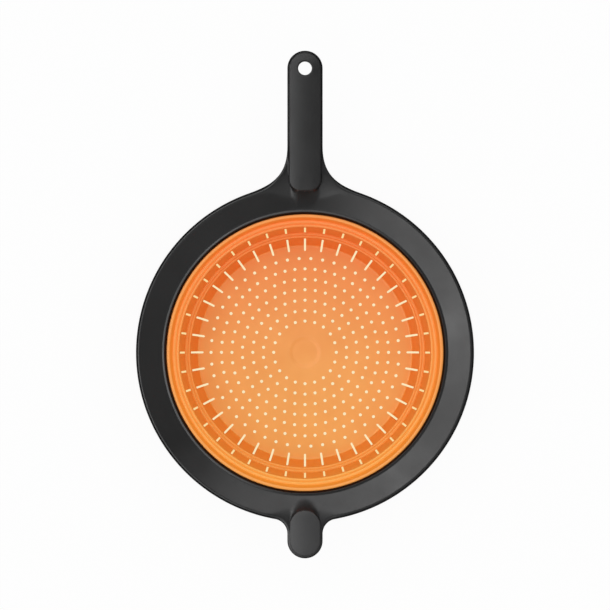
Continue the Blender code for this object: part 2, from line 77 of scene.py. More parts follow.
# Top side of the bowl's walls, ledges and rim: (radius, height) in section
BASE = (82.3 * MM, FLOOR_TOP)
LOWER_HEAD = (87.8 * MM, 31.4 * MM)
LOWER_GROOVE = (89.75 * MM, 31.15 * MM)
UPPER_FOOT = (91.6 * MM, 31.4 * MM)
UPPER_HEAD = (95.8 * MM, 55.4 * MM)
UPPER_GROOVE = (98.15 * MM, 54.9 * MM)
STEP_FOOT = (100.9 * MM, 55.4 * MM)
BASE_ROUND = 1.8 * MM
LOWER_GROOVE_HALF = 0.15 * MM
UPPER_GROOVE_HALF = 0.35 * MM
LOWER_RIDGE = 0.3 * MM
UPPER_RIDGE = 0.6 * MM
BEAD_INNER = (102.8 * MM, 58.8 * MM)
BEAD_RADIUS = 105.2 * MM
BEAD_TOP = 59.5 * MM
BEAD_STEPS = 8
FLANGE_MIDDLE = 107 * MM
FLANGE_RADIUS = 111 * MM
FLANGE_TOP = 56.3 * MM
FLANGE_BOTTOM = 54.7 * MM

# Underside of the bowl in the same section
OUTER_BASE = (83.62 * MM, 0)
OUTER_LOWER_HEAD = (89.6 * MM, 30 * MM)
OUTER_UPPER_FOOT = (93.4 * MM, 30 * MM)
OUTER_UPPER_HEAD = (98 * MM, 54 * MM)
OUTER_HEEL = (101.9 * MM, 54.7 * MM)
OUTER_BASE_ROUND = 2.8 * MM
OUTER_HEAD_ROUND = 0.8 * MM
OUTER_FOOT_ROUND = 1.2 * MM

# Drain slots: the radius or height of their tips, and of the places where they are fully wide
SLOT_COUNT = 40
SLOT_HALF = 0.77 * MM
LOWER_SLOT_TIP_RADIUS = 77.7 * MM
LOWER_SLOT_FULL_RADIUS = 80 * MM
LOWER_SLOT_FULL_HEIGHT = 25.9 * MM
LOWER_SLOT_TIP_HEIGHT = 27.8 * MM
UPPER_SLOT_RADIUS = 91.8 * MM
UPPER_SLOT_FULL_HEIGHT = 50.6 * MM
UPPER_SLOT_TIP_HEIGHT = 52.4 * MM

# Heights where the close rows round a wall's foot give way to the wall's own
LOWER_WALL_START = 5 * MM
UPPER_WALL_START = 34.6 * MM
OUTER_UPPER_WALL_START = 32 * MM

# Columns of the bowl's sheet across a slot, and across the land after it
SLOT_ACROSS = 4
LAND_ACROSS = 4
SLOT_COLUMNS = SLOT_ACROSS + LAND_ACROSS
COLUMNS = SLOT_COUNT * SLOT_COLUMNS

# Frame: the dish and its rim, then the handle and the tab in plan
DISH_INNER_RADIUS = 109 * MM
DISH_RADIUS = 126.5 * MM
RIM_RADIUS = 128.5 * MM
DISH_BOTTOM = 59.6 * MM
RIM_TOP = 67.9 * MM
EDGE_BOTTOM = 61.7 * MM
ARM_HALF = 13.4 * MM
HANDLE_TIP = 229.6 * MM
TAB_TIP = -156.3 * MM
NECK_LENGTH = 28.5 * MM
NECK_SPREAD = 29.2 * MM
NECK_PULL = 21.66 * MM
RING_PULL = 19.56 * MM
TAB_FILLET = 11.2 * MM
HANG_HOLE = (0, HANDLE_TIP - ARM_HALF)
HANG_HOLE_RADIUS = 5.2 * MM

# The frame's inner lip, its underside and the collar for the retaining ring: (radius, height) in section
LIP_SECTION = (
    (110 * MM, 60.08 * MM),
    (109.3 * MM, 59.76 * MM),
    (109 * MM, 59.65 * MM),
    (108.7 * MM, 59.64 * MM),
    (108.4 * MM, 59.74 * MM),
    (108 * MM, 59.92 * MM),
    (107.6 * MM, 60.1 * MM),
    (107.35 * MM, 60.19 * MM),
    (107.15 * MM, 60.16 * MM),
    (107.04 * MM, 60.04 * MM),
    (107 * MM, 59.8 * MM),
    (106.9 * MM, 59.3 * MM),
    (105.5 * MM, 56.95 * MM),
    (105.5 * MM, 56.6 * MM),
    (112 * MM, 56.6 * MM),
    (112 * MM, 51.5 * MM),
    (110.8 * MM, 51.5 * MM),
    (110.8 * MM, 50.7 * MM),
    (111.2 * MM, 50.3 * MM),
    (113.8 * MM, 50.3 * MM),
    (114.2 * MM, 50.7 * MM),
    (114.2 * MM, 59.1 * MM),
    (114.7 * MM, 59.82 * MM),
    (125.6 * MM, 64.97 * MM),
    (126.2 * MM, 64.6 * MM),
    (126.2 * MM, 61.7 * MM),
)

# Steps along the frame's outline and round its circles
RING_SIDES = 288
HANG_HOLE_SIDES = 48
TIP_STEPS = 20
TAB_SIDE_STEPS = 3
TAB_FILLET_STEPS = 12
RING_STEPS = 130
NECK_STEPS = 24
HANDLE_SIDE_STEPS = 30

# The frame's rounded edges: wide on the ring's top, tight on the arms', with one more row past the rounding
RIM_ROUND = 3.4 * MM
ARM_ROUND = 1.3 * MM
ROUND_FADE = 8 * MM
TOP_ROUND_STEPS = 9
PAST_ROUND_SHARE = 1.25
BOTTOM_ROUND = 0.9 * MM
BOTTOM_ROUND_STEPS = 3

# How softly the dish turns into the level rim, and more softly towards the arms
RIM_BLEND = 0.6 * MM
ARM_BLEND = 6 * MM
ARM_BLEND_REACH = 22 * MM
ARM_BLEND_LIMIT = 146 * MM
ARM_BLEND_FADE = 12 * MM

# Soft grip and pad on their seats, with a hollow fairing before each soft end, which sags to the sides
Plan = namedtuple("Plan", "half near far near_corner far_corner")
Fairing = namedtuple("Fairing", "top first_rate last_rate length sag")
SoftBar = namedtuple("SoftBar", "plan seat fairing edge_height crown")
GRIP = SoftBar(
    plan=Plan(half=12 * MM, near=123 * MM, far=228.2 * MM, near_corner=9 * MM, far_corner=12 * MM),
    seat=69.9 * MM,
    fairing=Fairing(top=68.5 * MM, first_rate=0.86, last_rate=0.6, length=9.5 * MM, sag=3 * MM),
    edge_height=0.9 * MM,
    crown=2.1 * MM,
)
PAD = SoftBar(
    plan=Plan(
        half=11.6 * MM, near=-154.5 * MM, far=-119.8 * MM, near_corner=11.6 * MM, far_corner=11.6 * MM
    ),
    seat=68.2 * MM,
    fairing=Fairing(top=67.3 * MM, first_rate=1, last_rate=0.74, length=6 * MM, sag=1.3 * MM),
    edge_height=0.7 * MM,
    crown=1.8 * MM,
)
SEAM = 0.3 * MM
SEAT_LAND = 0.3 * MM
SEAT_TUCK = 0.75 * MM
SEAT_SIDE_RATE = 6
SEAT_SHOULDER = 0.4 * MM
SEAT_FILLET = 0.6 * MM
FAIRING_FILLET = 0.3 * MM
FAIRING_FILLET_RATE_BELOW_RIM = 0.9
FAIRING_FILLET_DEPTH = 2.6 * MM
FAIRING_FILLET_RATE_ABOVE_LIP = 0.4
SOFT_EDGE_ROUND = 0.6 * MM
SOFT_EDGE_REACHES = tuple(reach * MM for reach in (0, 0.05, 0.18, 0.38, 0.62, 1.0, 1.6, 2.4))
SOFT_HOLE_ROUND = 1 * MM
SOFT_HOLE_REACHES = tuple(reach * MM for reach in (0, 0.08, 0.3, 0.6, 1.0, 1.5))
SOFT_PITCH = 1.5 * MM
SOFT_EDGE_MARGIN = 1 * MM
SOFT_HOLE_MARGIN = 2.3 * MM

# Points in the frame's top: rows at these reaches round the seats, then lattices in boxes in plan. Each has
# a pitch and a least gap to the points before it, and keeps a share of its pitch from circles and edge.
SHOULDER_REACHES = (-1, -0.7, -0.45, -0.2, 0, 0.3, 0.6, 1, 1.4, 1.7, 2, 2.4, 3)
FAIRING_REACHES = (3.8, 4.8, 5.8, 6.8, 7.8, 8.8, 9.8, 10.8)
SEAT_REACHES = tuple(reach * MM for reach in SHOULDER_REACHES + FAIRING_REACHES)
SEAT_CORNER_STEPS = 20
SEAT_SIDE_STEPS = 100
SEAT_PITCH = 0.5 * MM
SEAT_CLEARANCE = 0.3 * MM
FINE_PITCH = 1.1 * MM
FINE_CLEARANCE = 0.7 * MM
FINE_BOXES = (((-27 * MM, 108 * MM), (27 * MM, 152 * MM)), ((-27 * MM, -146 * MM), (27 * MM, -106 * MM)))
WIDE_PITCH = 2.6 * MM
WIDE_CLEARANCE = 2 * MM
WIDE_BOX = ((-129 * MM, -157 * MM), (129 * MM, 230 * MM))
CIRCLE_MARGIN_SHARE = 0.6
EDGE_MARGIN_SHARE = 0.75

# Retaining ring under the bowl's flange: (radius, height) in section
RETAINER_SECTION = (
    (111.7 * MM, 54.4 * MM),
    (103.2 * MM, 54.4 * MM),
    (103.2 * MM, 52.4 * MM),
    (103.4 * MM, 52 * MM),
    (103.8 * MM, 51.8 * MM),
    (111.7 * MM, 51.8 * MM),
)
RETAINER_SIDES = 240

# Triangles in plan: the kind of output that stays inside the loops, and a limit for circles. A triangle that
# fills a circle has its centre at least 1/3 of the squared angle step inside it, one outside at most 1/8.
CDT_INSIDE = 1
CIRCLE_LIMIT_SHARE = 0.2

# Silicone: two mottled colours on the floor, then the ledges' with painted light against the shade deep in
# the bowl, and the walls' deeper orange as painted bounce light, with painted light on the tab's side and
# painted shade on the handle's side
FLOOR_COLOURS = ((0.85, 0.354, 0.08), (0.885, 0.39, 0.095))
LEDGE_PAINTED_LIGHT_COLOUR = (0.945, 0.346, 0.066)
WALL_PAINTED_BOUNCE_COLOUR = (0.96, 0.287, 0.026)
FLOOR_TO_LEDGE = (76 * MM, 88 * MM)
STEEP_TO_LEVEL = (0.48, 0.66)
TAB_PAINTED_LIGHT = (1, 1.2, 1.06)
HANDLE_PAINTED_SHADE = (1, 0.8, 0.92)
TINT_REACH = 100 * MM
TINT_FADE = (102 * MM, 103.5 * MM)
BEAD_TINT_SHARE = 0.3

# Black parts: two mottled colours of the plastic, and of the rubber, which the pad's painted light makes
# greyer
PLASTIC_COLOURS = ((0.0095, 0.0095, 0.0097), (0.012, 0.012, 0.0122))
RUBBER_COLOURS = ((0.0115, 0.0115, 0.0117), (0.014, 0.014, 0.0142))
PAD_PAINTED_LIGHT = 2.6

# Noise in the materials: its levels of detail, and the part of its range that it fills
MOTTLE_DETAIL = 4
GLOSS_DETAIL = 3
GLOSS_SCALE_SHARE = 2.3
GRAIN_DETAIL = 2
GRAIN_ROUGHNESS = 0.6
NOISE_LOW = 0.3
NOISE_HIGH = 0.7

# Floor: painted warm light under the bowl in its colour to the camera, and white past it, with less of the
# white under the ring, where its real shadow shows a little
STUDIO_FLOOR_SIZE = 12
STUDIO_FLOOR_DROP = 0.2 * MM
STUDIO_FLOOR_COLOUR = (0.8, 0.8, 0.8, 1)
INNER_PAINTED_WARM_LIGHT = (1, 0.85, 0.52)
OUTER_PAINTED_WARM_LIGHT = (1, 0.76, 0.36)
WARMTH_TURN = (88 * MM, 91 * MM)
WARMTH_END = (95.5 * MM, 102 * MM)
RING_SHADE_END = (104 * MM, 132 * MM)
OPEN_GLOW = 0.95
SHADED_GLOW = 0.6

# Lights: the reflectors have name, azimuth, elevation, distance, width, height and brightness
WORLD_STRENGTH = 0.6
TOP_LIGHT_SIZE = 3
TOP_LIGHT_HEIGHT = 2.4
TOP_LIGHT_BRIGHTNESS = 1.1
REFLECTOR_AIM = 60 * MM
REFLECTORS = (
    ("upper_key", 95, 46, 1.2, 1.28, 0.7, 2.2),
    ("left_key", 159, 46, 1.2, 1.28, 0.7, 2.15),
    ("lower_key", 215, 46, 1.2, 1.28, 0.7, 2.35),
    ("overhead", -90, 70, 0.85, 0.8, 0.44, 0.7),
    ("right_fill", -20, 38, 1.4, 4.0, 0.9, 0.38),
)

# Camera: lens and sensor in the camera's own millimetres, and the photograph's width in pixels of this size
CAMERA_LENS = 600
CAMERA_SENSOR = 36
CAMERA_RANGE = 60
CAMERA_Y = 36.3 * MM
VIEW_HEIGHT = 68 * MM
PHOTO_WIDTH = 610
PIXEL_SIZE = 0.76 * MM


def add_object(name, data):
    """An object in the scene, at the origin."""
    obj = bpy.data.objects.new(name, data)
    bpy.context.scene.collection.objects.link(obj)
    return obj


def add_mesh(name, mesh, sharp_angle):
    """An object from the finished bmesh, shaded smooth but for its sharp edges."""
    bmesh.ops.recalc_face_normals(mesh, faces=mesh.faces)
    data = bpy.data.meshes.new(name)
    mesh.to_mesh(data)
    mesh.free()
    data.shade_smooth()
    data.set_sharp_from_angle(angle=math.radians(sharp_angle))
    return add_object(name, data)


def eased(share):
    """A share held between 0 and 1 that starts and ends gently."""
    share = min(max(share, 0), 1)
    return share**2 * (3 - 2 * share)


def smooth_min(a, b, width):
    """The lower of two heights, with a fillet where they meet."""
    overlap = max(width - abs(a - b), 0) / width
    return min(a, b) - overlap**2 * width / 4


def smooth_max(a, b, width):
    """The higher of two heights, with a fillet where they meet."""
    return -smooth_min(-a, -b, width)


def round_drop(distance, radius):
    """How far a rounded edge lies below its flat top, at a distance in from the side."""
    return radius - math.sqrt(radius**2 - (radius - distance) ** 2) if distance < radius else 0


def resampled(path, steps):
    """Evenly spaced points along a polyline, both ends included."""
    lengths = [math.dist(a, b) for a, b in zip(path, path[1:])]
    total = sum(lengths)
    points = [path[0]]
    walked = 0.0
    index = 0
    for i in range(1, steps):
        goal = total * i / steps
        while walked + lengths[index] < goal:
            walked += lengths[index]
            index += 1
        share = (goal - walked) / lengths[index]
        points.append(tuple(a + (b - a) * share for a, b in zip(path[index], path[index + 1])))
    points.append(path[-1])
    return points


def arc(centre, radius, start, end, steps):
    """Points along an arc, both ends included."""
    angles = [start + (end - start) * i / steps for i in range(steps + 1)]
    return [(centre[0] + radius * math.cos(a), centre[1] + radius * math.sin(a)) for a in angles]


def bezier(controls, steps):
    """Points along a cubic curve, both ends included."""
    points = []
    for i in range(steps + 1):
        t = i / steps
        weights = ((1 - t) ** 3, 3 * t * (1 - t) ** 2, 3 * t**2 * (1 - t), t**3)
        points.append(tuple(sum(w * c[axis] for w, c in zip(weights, controls)) for axis in (0, 1)))
    return points


def rounded_corner(before, corner, after, radius, steps=6):
    """The arc that rounds a corner of a section."""
    into = (Vector(before) - Vector(corner)).normalized()
    out = (Vector(after) - Vector(corner)).normalized()
    half = into.angle(out) / 2
    centre = Vector(corner) + (into + out).normalized() * (radius / math.sin(half))
    first = Vector(corner) + into * (radius / math.tan(half)) - centre
    last = Vector(corner) + out * (radius / math.tan(half)) - centre
    sweep = math.pi - 2 * half
    points = []
    for i in range(steps + 1):
        a = math.sin(sweep * (1 - i / steps)) / math.sin(sweep)
        b = math.sin(sweep * i / steps) / math.sin(sweep)
        points.append(tuple(centre + first * a + last * b))
    return points


def on_line(start, end, height):
    """The point of a straight wall at a height."""
    share = (height - start[1]) / (end[1] - start[1])
    return start[0] + (end[0] - start[0]) * share, height


def ridge(start, end, height, steps=8):
    """A low arched ridge across a ledge, between two radii at one height."""
    middle = (start[0] + end[0]) / 2
    half = (end[0] - start[0]) / 2
    points = []
    for i in range(steps + 1):
        radius = start[0] + (end[0] - start[0]) * i / steps
        rise = height * (1 - ((radius - middle) / half) ** 2)
        points.append((radius, start[1] + rise))
    return points


def ledge(start, groove, groove_half, end, ridge_height):
    """A ledge with a fold groove and a ridge on each side of it."""
    inner = ridge(start, (groove[0] - groove_half, start[1]), ridge_height)
    outer = ridge((groove[0] + groove_half, start[1]), end, ridge_height)
    return inner + [groove] + outer


def bead_arc():
    """The bead's rounded top, after its inner foot."""
    half = (BEAD_RADIUS - BEAD_INNER[0]) / 2
    rise = BEAD_TOP - BEAD_INNER[1]
    points = []
    for i in range(1, BEAD_STEPS + 1):
        turn = math.pi * (1 - i / BEAD_STEPS)
        points.append((BEAD_RADIUS - half + half * math.cos(turn), BEAD_INNER[1] + rise * math.sin(turn)))
    return points


def lower_wall(height):
    """The lower wall's points at a height, on its top side and on its underside."""
    return on_line(BASE, LOWER_HEAD, height), on_line(OUTER_BASE, OUTER_LOWER_HEAD, height)


def upper_wall(height):
    """The upper wall's points at a height, on its top side and on its underside."""
    return on_line(UPPER_FOOT, UPPER_HEAD, height), on_line(OUTER_UPPER_FOOT, OUTER_UPPER_HEAD, height)


def bowl_zones():
    """The bowl's section, from the floor's margin out to the flange's end.

    Each zone holds the points of its top side and of its underside after its start, its number of rows, and
    how the drain slots cut it: not at all, fully wide (slot), or as the row at a rounded tip (start, end).
    """
    foot_share = (UPPER_SLOT_RADIUS - UPPER_FOOT[0]) / (UPPER_HEAD[0] - UPPER_FOOT[0])
    slot_foot = (UPPER_SLOT_RADIUS, UPPER_FOOT[1] + (UPPER_HEAD[1] - UPPER_FOOT[1]) * foot_share)
    corner = rounded_corner((0, FLOOR_TOP), BASE, LOWER_HEAD, BASE_ROUND)
    lower_start, outer_lower_start = lower_wall(LOWER_WALL_START)
    lower_full, outer_lower_full = lower_wall(LOWER_SLOT_FULL_HEIGHT)
    lower_tip, outer_lower_tip = lower_wall(LOWER_SLOT_TIP_HEIGHT)
    lower_ledge = ledge(LOWER_HEAD, LOWER_GROOVE, LOWER_GROOVE_HALF, UPPER_FOOT, LOWER_RIDGE)
    upper_start = upper_wall(UPPER_WALL_START)[0]
    outer_upper_start = upper_wall(OUTER_UPPER_WALL_START)[1]
    upper_full, outer_upper_full = upper_wall(UPPER_SLOT_FULL_HEIGHT)
    upper_tip, outer_upper_tip = upper_wall(UPPER_SLOT_TIP_HEIGHT)
    upper_ledge = ledge(UPPER_HEAD, UPPER_GROOVE, UPPER_GROOVE_HALF, STEP_FOOT, UPPER_RIDGE)
    outer_corner = rounded_corner((0, 0), OUTER_BASE, OUTER_LOWER_HEAD, OUTER_BASE_ROUND)
    outer_lower_head = rounded_corner(OUTER_BASE, OUTER_LOWER_HEAD, OUTER_UPPER_FOOT, OUTER_HEAD_ROUND)
    outer_upper_foot = rounded_corner(OUTER_LOWER_HEAD, OUTER_UPPER_FOOT, OUTER_UPPER_HEAD, OUTER_FOOT_ROUND)
    outer_upper_head = rounded_corner(OUTER_UPPER_FOOT, OUTER_UPPER_HEAD, OUTER_HEEL, OUTER_HEAD_ROUND)
    return [
        ([(LOWER_SLOT_TIP_RADIUS, FLOOR_TOP)], [(LOWER_SLOT_TIP_RADIUS, 0)], 1, ""),
        ([(LOWER_SLOT_FULL_RADIUS, FLOOR_TOP)], [(LOWER_SLOT_FULL_RADIUS, 0)], 1, "start"),
        (corner + [lower_start], outer_corner + [outer_lower_start], 9, "slot"),
        ([lower_full], [outer_lower_full], 6, "slot"),
        ([lower_tip], [outer_lower_tip], 1, "end"),
        (lower_ledge + [slot_foot], outer_lower_head + [(UPPER_SLOT_RADIUS, OUTER_UPPER_FOOT[1])], 26, ""),
        ([upper_start], outer_upper_foot + [outer_upper_start], 5, "slot"),
        ([upper_full], [outer_upper_full], 12, "slot"),
        ([upper_tip], [outer_upper_tip], 1, "end"),
        (upper_ledge + [BEAD_INNER], outer_upper_head + [OUTER_HEEL], 28, ""),
        (bead_arc(), [(BEAD_RADIUS, FLANGE_BOTTOM)], 12, ""),
        ([(BEAD_RADIUS, FLANGE_TOP)], [(FLANGE_MIDDLE, FLANGE_BOTTOM)], 2, ""),
        ([(FLANGE_RADIUS, FLANGE_TOP)], [(FLANGE_RADIUS, FLANGE_BOTTOM)], 2, ""),
    ]


def sheet_rows():
    """The rows of the bowl's sheet: top point, underside point, and how slots cut the band after a row."""
    top = (FLOOR_SHEET_RADIUS, FLOOR_TOP)
    under = (FLOOR_SHEET_RADIUS, 0)
    rows = []
    for top_path, under_path, steps, kind in bowl_zones():
        tops = resampled([top] + top_path, steps)
        unders = resampled([under] + under_path, steps)
        rows += [(tops[i], unders[i], kind) for i in range(steps)]
        top = tops[-1]
        under = unders[-1]
    rows.append((top, under, ""))
    return rows


def place_in_slot(column):
    """Where a column lies across its slot, from -1 to 1, or None on the land between two slots."""
    place = column % SLOT_COLUMNS
    return math.sin(math.pi * (place / SLOT_ACROSS - 0.5)) if place <= SLOT_ACROSS else None


def column_angle(column, radius):
    """A column's angle at a radius: the slots keep parallel sides, and the lands share what is left."""
    slot, place = divmod(column, SLOT_COLUMNS)
    pitch = 2 * math.pi / SLOT_COUNT
    across = place_in_slot(column)
    if across is not None:
        return pitch * slot + math.asin(SLOT_HALF * across / radius)
    edge = math.asin(SLOT_HALF / radius)
    land = pitch - 2 * edge
    return pitch * slot + edge + land * (place - SLOT_ACROSS) / LAND_ACROSS


def sheet_point(rows, index, side, column):
    """A row's (radius, height) on a column, drawn into the slot where the row holds its rounded tips."""
    point = rows[index][side]
    across = place_in_slot(column)
    if across is not None and rows[index][2] == "start":
        towards = rows[index + 1][side]
    elif across is not None and rows[index - 1][2] == "end":
        towards = rows[index - 1][side]
    else:
        return point
    depth = SLOT_HALF * (1 - math.sqrt(max(0.0, 1 - across**2)))
    share = depth / math.dist(point, towards)
    return tuple(a + (b - a) * share for a, b in zip(point, towards))


def join_sides(mesh, sides, first, second):
    """A face through the sheet's thickness, between two neighbouring (row, column) places."""
    tops, unders = sides
    places = (first, second)
    face = [tops[row][column] for row, column in places]
    face += [unders[row][column] for row, column in reversed(places)]
    mesh.faces.new(face)


def build_bowl_sheet(mesh):
    """The bowl from its floor's margin to its flange, as a sheet with two sides and open drain slots.

    It gives the first loops of vertices, on the top side and on the underside, for the floor to join.
    """
    rows = sheet_rows()
    last = len(rows) - 1
    sides = ([], [])
    for index in range(len(rows)):
        for side in (0, 1):
            loop = []
            for column in range(COLUMNS):
                radius, height = sheet_point(rows, index, side, column)
                angle = column_angle(column, radius)
                loop.append(mesh.verts.new((radius * math.cos(angle), radius * math.sin(angle), height)))
            sides[side].append(loop)

    def is_open(row, column):
        return rows[row][2] != "" and column % SLOT_COLUMNS < SLOT_ACROSS

    for row in range(last):
        for column in range(COLUMNS):
            following = (column + 1) % COLUMNS
            if not is_open(row, column):
                for side in sides:
                    near = side[row]
                    far = side[row + 1]
                    mesh.faces.new((near[column], near[following], far[following], far[column]))
                continue
            if column % SLOT_COLUMNS == 0:
                join_sides(mesh, sides, (row, column), (row + 1, column))
            if column % SLOT_COLUMNS == SLOT_ACROSS - 1:
                join_sides(mesh, sides, (row, following), (row + 1, following))
            if not is_open(row - 1, column):
                join_sides(mesh, sides, (row, column), (row, following))
            if not is_open(row + 1, column):
                join_sides(mesh, sides, (row + 1, column), (row + 1, following))
    for column in range(COLUMNS):
        join_sides(mesh, sides, (last, column), (last, (column + 1) % COLUMNS))
    unused = [vert for vert in mesh.verts if not vert.link_faces]
    bmesh.ops.delete(mesh, geom=unused, context="VERTS")
    return sides[0][0], sides[1][0]


def ring_of(mesh, centre, radius, height, sides):
    """A level circle of vertices."""
    angles = [2 * math.pi * i / sides for i in range(sides)]
    places = [(centre[0] + radius * math.cos(a), centre[1] + radius * math.sin(a)) for a in angles]
    return [mesh.verts.new((x, y, height)) for x, y in places]


def bridge(mesh, loops):
    """Quads between each closed loop and the next, all of the same length."""
    for first, second in zip(loops, loops[1:]):
        for i in range(len(first)):
            mesh.faces.new((first[i - 1], first[i], second[i], second[i - 1]))


def fill(mesh, loops, spots, keep):
    """Triangles in plan between closed loops of vertices, and through loose ones, where keep says so."""
    verts = [vert for loop in loops for vert in loop] + spots
    edges = []
    start = 0
    for loop in loops:
        edges += [(start + i, start + (i + 1) % len(loop)) for i in range(len(loop))]
        start += len(loop)
    plan = [Vector((vert.co.x, vert.co.y)) for vert in verts]
    points, _, faces, sources, _, _ = delaunay_2d_cdt(plan, edges, [], CDT_INSIDE, WELD)
    for face in faces:
        x = sum(points[i].x for i in face) / 3
        y = sum(points[i].y for i in face) / 3
        if keep(x, y):
            mesh.faces.new([verts[sources[i][0]] for i in face])


def circle_limit(radius, sides):
    """The distance from a circle's centre that the centre of a triangle outside the circle passes."""
    return radius * (1 - CIRCLE_LIMIT_SHARE * (2 * math.pi / sides) ** 2)


def off_circles(*circles):
    """A test of whether a triangle's centre lies outside all the given circles (centre, radius, sides)."""
    limits = [(centre, circle_limit(radius, sides)) for centre, radius, sides in circles]

    def is_off(x, y):
        return all(math.dist((x, y), centre) > limit for centre, limit in limits)

    return is_off


def tree_of(points):
    """A search tree over points in plan."""
    tree = KDTree(len(points))
    for i, point in enumerate(points):
        tree.insert((point[0], point[1], 0), i)
    tree.balance()
    return tree


def floor_holes():
    """The centres of the drain holes. A hole of each ring lies on +Y, but the last ring straddles it."""
    spots = []
    for radius, count in HOLE_RINGS:
        shift = 0.5 if radius == HOLE_RINGS[-1][0] else 0
        for i in range(count):
            angle = math.pi / 2 + 2 * math.pi * (i + shift) / count
            spots.append((radius * math.cos(angle), radius * math.sin(angle)))
    return spots


def dimple_height(radius):
    """The floor's top side across the dimple and its sloping edge."""
    return FLOOR_TOP - DIMPLE_DEPTH * (1 - eased((radius - DIMPLE_RADIUS + DIMPLE_SLOPE) / DIMPLE_SLOPE))


def build_bowl_floor(mesh, top_edge, under_edge):
    """The perforated disc with its dimple, joined to the sheet's first loops."""
    centres = floor_holes()
    levels = (
        (HOLE_RADIUS + HOLE_EDGE, FLOOR_TOP),
        (HOLE_RADIUS, FLOOR_TOP - HOLE_EDGE),
        (HOLE_RADIUS, HOLE_EDGE),
        (HOLE_RADIUS + HOLE_EDGE, 0),
    )
    tops = []
    unders = []
    for centre in centres:
        rings = [ring_of(mesh, centre, radius, height, HOLE_SIDES) for radius, height in levels]
        bridge(mesh, rings)
        tops.append(rings[0])
        unders.append(rings[-1])
    dimple = [ring_of(mesh, CENTRE, radius, dimple_height(radius), DIMPLE_SIDES) for radius in DIMPLE_ROWS]
    bridge(mesh, dimple)
    mesh.faces.new(dimple[-1])
    under_dimple = ring_of(mesh, CENTRE, DIMPLE_ROWS[0], 0, DIMPLE_SIDES)
    mesh.faces.new(under_dimple)
    tree = tree_of(centres)
    hole_limit = circle_limit(HOLE_RADIUS + HOLE_EDGE, HOLE_SIDES)
    off_dimple = off_circles((CENTRE, DIMPLE_ROWS[0], DIMPLE_SIDES))

    def is_solid(x, y):
        return off_dimple(x, y) and tree.find((x, y, 0))[2] > hole_limit

    fill(mesh, [top_edge, dimple[0]] + tops, [], is_solid)
    fill(mesh, [under_edge, under_dimple] + unders, [], is_solid)


def build_bowl():
    """The silicone bowl in one piece, from its perforated floor to its clamped flange."""
    mesh = bmesh.new()
    top_edge, under_edge = build_bowl_sheet(mesh)
    build_bowl_floor(mesh, top_edge, under_edge)
    return add_mesh("silicone_bowl", mesh, sharp_angle=42)


def frame_outline():
    """The frame in plan: right half from the tab's tip round to the handle's tip, then its mirror image."""
    fillet_x = ARM_HALF + TAB_FILLET
    fillet_y = -math.sqrt((RIM_RADIUS + TAB_FILLET) ** 2 - fillet_x**2)
    tab_angle = math.atan2(fillet_y, fillet_x)
    reach = ARM_HALF + NECK_SPREAD
    ring_angle = math.acos(reach / RIM_RADIUS)
    on_ring = (reach, RIM_RADIUS * math.sin(ring_angle))
    along_ring = (-math.sin(ring_angle), math.cos(ring_angle))
    ring_pull = (on_ring[0] + RING_PULL * along_ring[0], on_ring[1] + RING_PULL * along_ring[1])
    neck = (ARM_HALF, RIM_RADIUS + NECK_LENGTH)
    neck_pull = (ARM_HALF, neck[1] - NECK_PULL)
    tab_side = [(ARM_HALF, TAB_TIP + ARM_HALF), (ARM_HALF, fillet_y)]
    handle_side = [neck, (ARM_HALF, HANDLE_TIP - ARM_HALF)]
    right = arc((0, TAB_TIP + ARM_HALF), ARM_HALF, -math.pi / 2, 0, TIP_STEPS)
    right += resampled(tab_side, TAB_SIDE_STEPS)[1:-1]
    right += arc((fillet_x, fillet_y), TAB_FILLET, math.pi, tab_angle + math.pi, TAB_FILLET_STEPS)
    right += arc(CENTRE, RIM_RADIUS, tab_angle, ring_angle, RING_STEPS)[1:-1]
    right += bezier((on_ring, ring_pull, neck_pull, neck), NECK_STEPS)
    right += resampled(handle_side, HANDLE_SIDE_STEPS)[1:-1]
    right += arc(HANG_HOLE, ARM_HALF, 0, math.pi / 2, TIP_STEPS)
    return right + [(-x, y) for x, y in reversed(right[1:-1])]


def bar_outline(plan, corner_steps=24, side_steps=40):
    """A soft bar in plan, with its own corner radius at each end."""
    half, near, far, near_corner, far_corner = plan
    near_centre = (half - near_corner, near + near_corner)
    far_centre = (half - far_corner, far - far_corner)
    right = [(0, near)] if half > near_corner else []
    right += arc(near_centre, near_corner, -math.pi / 2, 0, corner_steps)
    right += resampled([(half, near_centre[1]), (half, far_centre[1])], side_steps)[1:-1]
    right += arc(far_centre, far_corner, 0, math.pi / 2, corner_steps)
    return right + [(-x, y) for x, y in reversed(right) if x > WELD]


def bar_distance(plan, x, y):
    """How far outside a bar's plan a point lies; negative inside."""
    half, near, far, near_corner, far_corner = plan
    middle = (near + far) / 2
    corner = near_corner if y < middle else far_corner
    across = abs(x) - half + corner
    along = abs(y - middle) - (far - near) / 2 + corner
    return math.hypot(max(across, 0), max(along, 0)) + min(max(across, along), 0) - corner


def grown(plan, reach):
    """A bar's plan with all its sides moved outwards."""
    half, near, far, near_corner, far_corner = plan
    return Plan(half + reach, near - reach, far + reach, near_corner + reach, far_corner + reach)


def inset(outline, distances):
    """A closed outline moved inwards along its own normals, by one distance or by one for each point."""
    moved = []
    for i, (x, y) in enumerate(outline):
        before = outline[i - 1]
        after = outline[(i + 1) % len(outline)]
        run = math.dist(before, after)
        distance = distances[i] if isinstance(distances, list) else distances
        along_x = (after[0] - before[0]) / run
        along_y = (after[1] - before[1]) / run
        moved.append((x - along_y * distance, y + along_x * distance))
    return moved


def inside(outline, x, y):
    """Whether a point lies inside a closed outline: an odd number of the edges lie on one side of it."""
    crossings = 0
    for (x1, y1), (x2, y2) in zip(outline, outline[1:] + outline[:1]):
        if (y1 > y) != (y2 > y) and x < (x2 - x1) * (y - y1) / (y2 - y1) + x1:
            crossings += 1
    return crossings % 2 == 1


